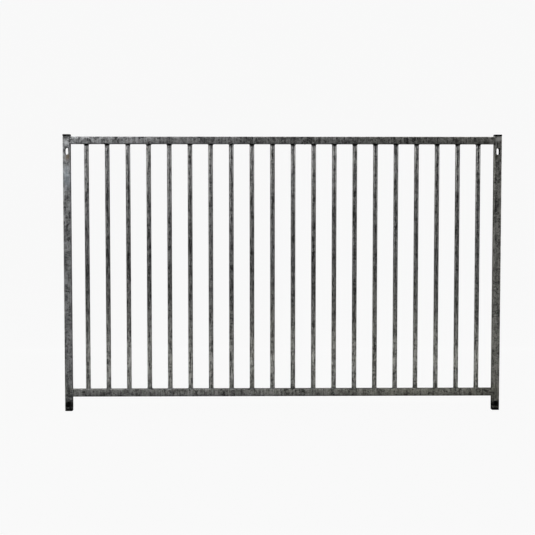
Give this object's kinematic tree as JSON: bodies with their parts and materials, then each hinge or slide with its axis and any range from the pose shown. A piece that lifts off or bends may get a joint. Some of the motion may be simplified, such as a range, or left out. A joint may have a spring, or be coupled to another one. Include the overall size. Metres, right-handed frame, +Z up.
{
  "type": "barred gate panel",
  "caption": "Welded, galvanised steel gate panel: round upright bars between two square rails and two slotted square posts with plastic end plugs.",
  "frame": {"origin": "on the ground, midway between the two posts and midway through their thickness", "axes": "+X along the width from the left post to the right post as seen from the front, +Y from the front face to the back face, +Z up"},
  "size_m": [1.501, 0.026, 0.95],
  "materials": {
    "galvanised_steel": "hot-dip galvanised after welding, weathered dull grey with mottled spangle and small zinc runs",
    "black_plastic": "moulded black polyethylene, satin"
  },
  "bodies": {
    "root": {"left_post": "galvanised_steel", "left_foot_plug": "black_plastic", "left_top_cap": "black_plastic", "right_post": "galvanised_steel", "right_foot_plug": "black_plastic", "right_top_cap": "black_plastic", "top_rail": "galvanised_steel", "bottom_rail": "galvanised_steel", "bar_01": "galvanised_steel", "bar_02": "galvanised_steel", "bar_03": "galvanised_steel", "bar_04": "galvanised_steel", "bar_05": "galvanised_steel", "bar_06": "galvanised_steel", "bar_07": "galvanised_steel", "bar_08": "galvanised_steel", "bar_09": "galvanised_steel", "bar_10": "galvanised_steel", "bar_11": "galvanised_steel", "bar_12": "galvanised_steel", "bar_13": "galvanised_steel", "bar_14": "galvanised_steel", "bar_15": "galvanised_steel", "bar_16": "galvanised_steel", "bar_17": "galvanised_steel", "bar_18": "galvanised_steel", "bar_19": "galvanised_steel", "bar_20": "galvanised_steel"}
  },
  "joints": []
}
